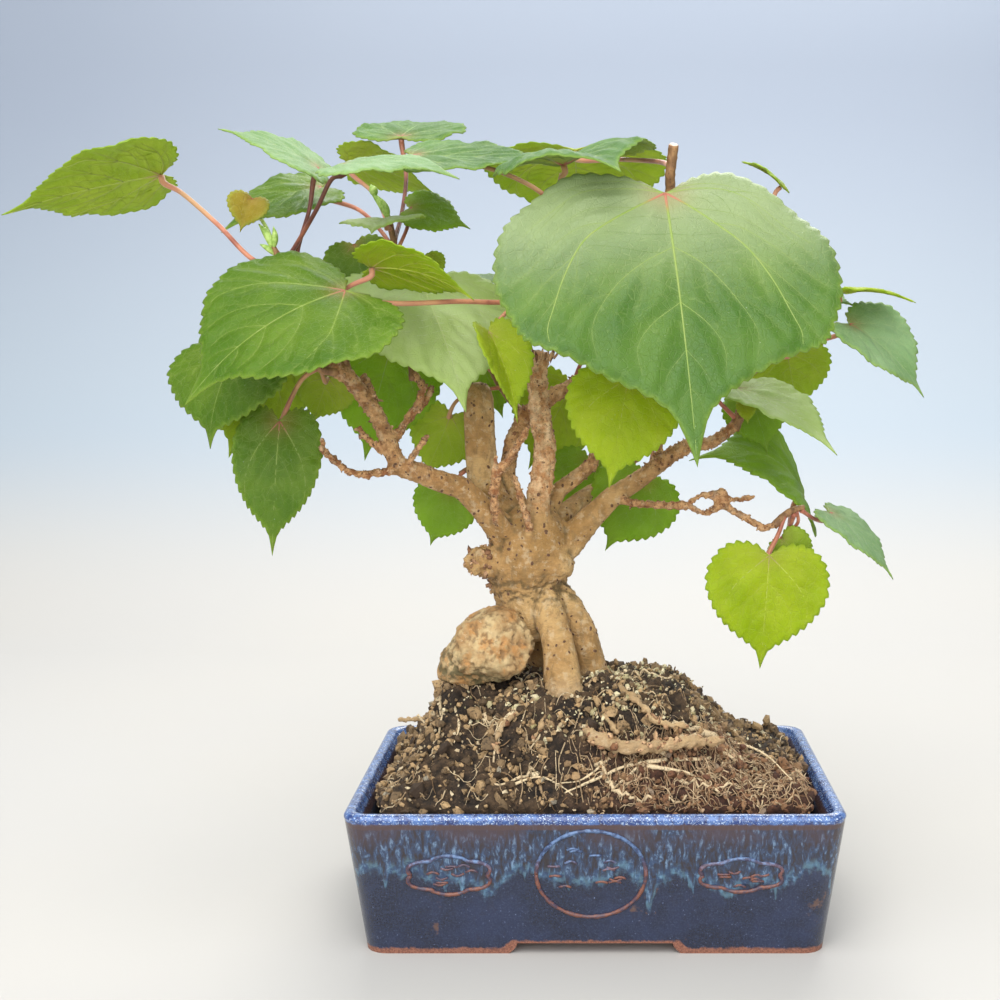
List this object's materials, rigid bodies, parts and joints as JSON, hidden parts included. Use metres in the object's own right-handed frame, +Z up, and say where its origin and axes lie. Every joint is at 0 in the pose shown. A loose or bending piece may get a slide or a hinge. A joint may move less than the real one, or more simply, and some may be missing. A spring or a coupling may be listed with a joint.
{
  "type": "sea hibiscus bonsai",
  "caption": "Small bonsai tree with heart-shaped leaves and a trunk on exposed roots, in a mound of soil with a stone, in a glazed rectangular pot.",
  "frame": {"origin": "middle of the bounding box's foot, on the plane that the pot stands on", "axes": "+X to the right along the pot's long side, +Y away from its front, +Z up"},
  "size_m": [0.3414, 0.1786, 0.3144],
  "materials": {
    "pot_glaze": "gloss",
    "drain_plastic": "matte",
    "soil": "matte",
    "stone": "matte",
    "bark": "matte",
    "stem": "satin",
    "leaf_green": "satin",
    "leaf_pale": "satin",
    "leaf_dark": "satin",
    "leaf_olive": "satin",
    "leaf_bright": "satin",
    "leaf_bronze": "satin"
  },
  "bodies": {
    "root": {"pot": "pot_glaze", "drain_mesh_left": "drain_plastic", "drain_mesh_right": "drain_plastic", "soil": "soil", "stone": "stone", "tree_wood": "bark", "shoot_left": "stem", "shoot_crown": "stem", "shoot_top": "stem", "shoot_cut": "stem", "shoot_low_right": "stem", "spur_left": "stem", "shoot_back": "stem", "shoot_low_back": "stem", "stalk_low_left": "stem", "leaf_far_left": "leaf_olive", "leaf_top_left": "leaf_pale", "leaf_top_centre": "leaf_pale", "leaf_under_top": "leaf_olive", "leaf_behind_bud": "leaf_green", "leaf_crown": "leaf_pale", "leaf_top_middle": "leaf_pale", "leaf_top_humped": "leaf_pale", "leaf_top_back": "leaf_olive", "leaf_large_front": "leaf_green", "leaf_right_peak": "leaf_olive", "leaf_right_edge": "leaf_bright", "leaf_right_small": "leaf_pale", "leaf_right_folded": "leaf_pale", "leaf_right_round": "leaf_olive", "leaf_right_long": "leaf_bright", "leaf_right_young": "leaf_bright", "leaf_right_hanging": "leaf_green", "leaf_right_curled": "leaf_dark", "leaf_right_low": "leaf_bright", "leaf_right_low_small": "leaf_olive", "leaf_right_outer": "leaf_pale", "leaf_centre_bright": "leaf_bright", "leaf_centre_folded": "leaf_bright", "leaf_left_large": "leaf_green", "leaf_left_arched": "leaf_bright", "leaf_centre_pale": "leaf_pale", "leaf_back_yellow": "leaf_olive", "leaf_crown_right": "leaf_dark", "leaf_crown_front": "leaf_pale", "leaf_left_behind": "leaf_dark", "leaf_left_pleated": "leaf_dark", "leaf_left_hidden": "leaf_olive", "leaf_left_hanging": "leaf_dark", "leaf_left_inner": "leaf_olive", "leaf_centre_dark": "leaf_dark", "leaf_centre_olive": "leaf_olive", "leaf_back_stump": "leaf_green", "leaf_low_left": "leaf_green", "leaf_low_right": "leaf_green", "leaf_back_blue": "leaf_pale", "leaf_back_low": "leaf_green", "leaf_back_middle": "leaf_olive", "bud_leaf_left": "leaf_bronze"}
  },
  "joints": []
}
